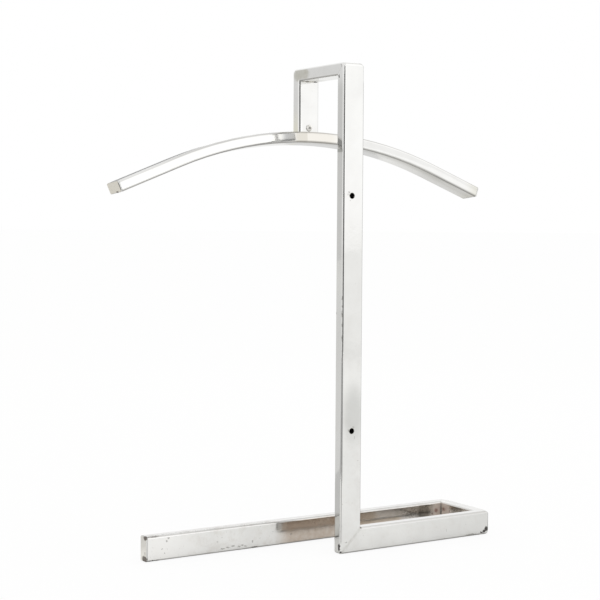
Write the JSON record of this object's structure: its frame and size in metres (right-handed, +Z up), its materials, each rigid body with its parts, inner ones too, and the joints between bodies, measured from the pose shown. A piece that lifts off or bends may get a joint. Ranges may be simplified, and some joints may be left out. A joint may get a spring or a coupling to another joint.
{
  "type": "coat rack",
  "caption": "Wall coat rack of flat chromed tube: an arched jacket hanger on a goose-neck arm at the top of the post, and an open-ended trouser rail on a loop at its foot.",
  "frame": {"origin": "on the wall face of the post, midway in height between its upper and lower screw hole", "axes": "+X along the bars to the closed end of the foot loop, +Y from the wall into the room, +Z up"},
  "size_m": [0.4419, 0.1015, 0.49],
  "materials": {
    "chrome": "polished plating with light scuffs and a few worn spots",
    "cap_metal": "duller plating",
    "screw_metal": "plain steel",
    "tongue_metal": "bare steel, hidden inside the stem"
  },
  "bodies": {
    "root": {"wall_post": "chrome", "foot_bar": "chrome", "end_bar": "chrome", "trouser_rail": "chrome", "top_bar": "chrome", "hanger_stem": "chrome", "hanger_bar": "chrome", "rail_end_cap": "cap_metal", "hanger_cap_left": "cap_metal", "hanger_cap_right": "cap_metal", "stem_screw": "screw_metal", "hanger_tongue": "tongue_metal"}
  },
  "joints": []
}
